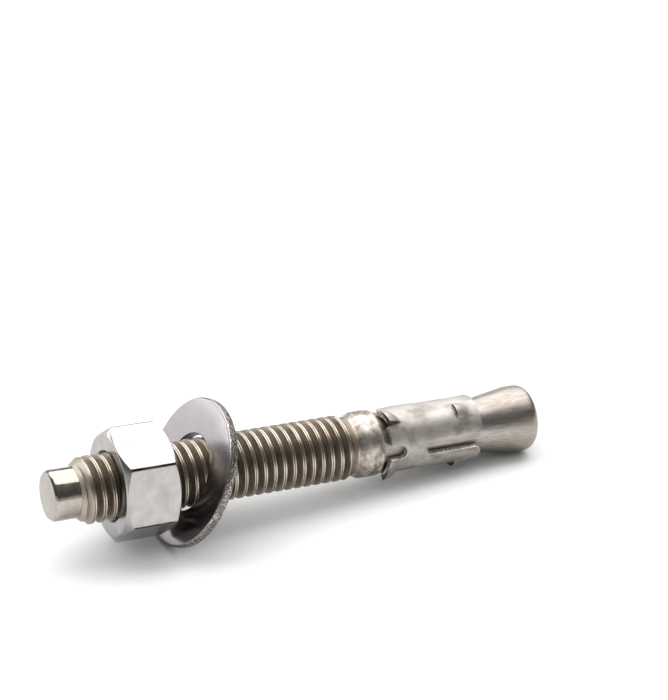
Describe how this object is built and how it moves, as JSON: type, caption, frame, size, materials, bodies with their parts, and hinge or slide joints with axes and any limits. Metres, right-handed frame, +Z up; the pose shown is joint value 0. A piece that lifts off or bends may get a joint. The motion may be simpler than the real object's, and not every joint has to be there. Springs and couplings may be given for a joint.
{
  "type": "wedge anchor",
  "caption": "Torque controlled wedge anchor for concrete: threaded stud with a cone end, slotted expansion clip, plain washer and hexagon nut, lying on a surface.",
  "frame": {"origin": "middle of the lying anchor's box, on the floor", "axes": "+X towards the cone end, in the upright plane that holds the stud's axis; +Z up. The stud's axis slopes down 5.1 degrees towards +X."},
  "size_m": [0.0986, 0.0276, 0.0251],
  "materials": {
    "stud": "rolled and turned stainless steel",
    "expansion_clip": "stamped stainless sheet, satin",
    "washer": "stamped stainless sheet, satin face and sheared rim",
    "hex_nut": "cold formed stainless steel, satin"
  },
  "bodies": {
    "stud": {"stud": "stud"},
    "washer": {"washer": "washer"},
    "nut": {"hex_nut": "hex_nut"},
    "clip": {"expansion_clip": "expansion_clip"}
  },
  "joints": [
    {"name": "washer_travel", "type": "slide", "parent": "stud", "child": "washer", "axis": [0.996, 0, -0.0894], "range_m": [-0.0098, 0.0313]},
    {"name": "nut_turn", "type": "hinge", "parent": "washer", "child": "nut", "pos_m": [-0.03228, 0, 0.01354], "axis": [0.996, 0, -0.0894], "range_deg": [-1800, 5760]},
    {"name": "clip_slide", "type": "slide", "parent": "stud", "child": "clip", "axis": [0.996, 0, -0.0894], "range_m": [-0.0011, 0]}
  ],
  "couplings": [
    {"joint": "washer_travel", "follows": "nut_turn", "m_per_rad": 0.00031099}
  ]
}
